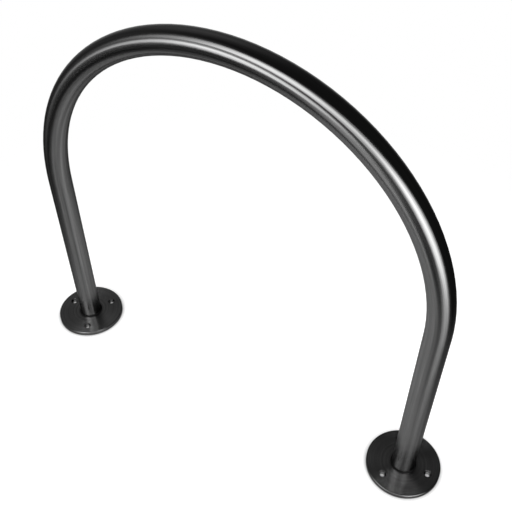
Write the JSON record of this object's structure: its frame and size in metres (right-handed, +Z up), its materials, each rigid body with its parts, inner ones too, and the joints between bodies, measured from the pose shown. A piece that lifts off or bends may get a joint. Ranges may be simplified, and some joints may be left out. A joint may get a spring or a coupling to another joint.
{
  "type": "hoop bike rack",
  "caption": "Hoop bike rack: a round steel tube bent into an arch, with a round base flange with countersunk anchor holes welded to each leg.",
  "frame": {"origin": "on the ground, midway between the two legs", "axes": "+Z up, X along the rack from the left leg to the right leg, Y through the hoop"},
  "size_m": [0.992, 0.154, 0.866],
  "materials": {
    "tube_steel": "dark and polished, with faint streaks along the tube",
    "flange_steel": "dark satin with concentric turning marks",
    "weld_steel": "dark, finely rippled weld"
  },
  "bodies": {
    "root": {"hoop_tube": "tube_steel", "left_flange": "flange_steel", "right_flange": "flange_steel", "left_weld": "weld_steel", "right_weld": "weld_steel", "left_root_weld": "weld_steel", "right_root_weld": "weld_steel"}
  },
  "joints": []
}
